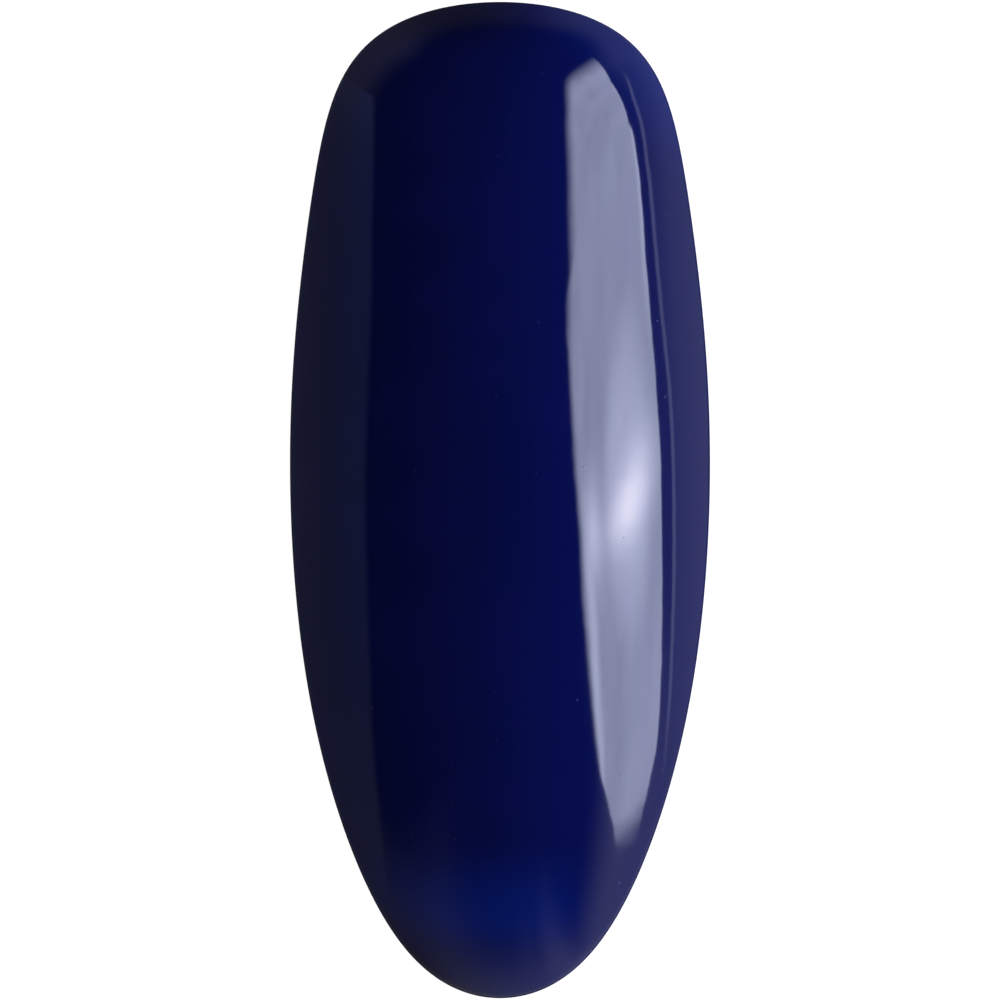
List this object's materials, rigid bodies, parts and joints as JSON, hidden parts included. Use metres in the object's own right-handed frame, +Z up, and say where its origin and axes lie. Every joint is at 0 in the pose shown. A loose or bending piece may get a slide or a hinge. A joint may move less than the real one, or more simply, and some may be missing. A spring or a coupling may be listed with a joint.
{
  "type": "false nail tip",
  "caption": "Oval full-cover false nail tip with an arched plastic shell under clear base, two colour layers and a glossy clear top layer.",
  "frame": {"origin": "middle of the footprint, on the plane that the rim rests on", "axes": "+X across the nail, +Y along the nail towards the cuticle edge, +Z up out of the arch"},
  "size_m": [0.0118, 0.028, 0.0035],
  "materials": {
    "tip_plastic": "satin, slightly milky moulded plastic",
    "clear_base": "clear cured gel, seen only as a hair line under the rim",
    "navy_first": "cured navy gel, thin first coat",
    "navy_second": "cured navy gel, full colour",
    "gloss_top": "wet-look clear gloss over navy"
  },
  "bodies": {
    "root": {"nail_tip": "tip_plastic", "base_coat": "clear_base", "colour_coat_1": "navy_first", "colour_coat_2": "navy_second", "top_coat": "gloss_top"}
  },
  "joints": []
}
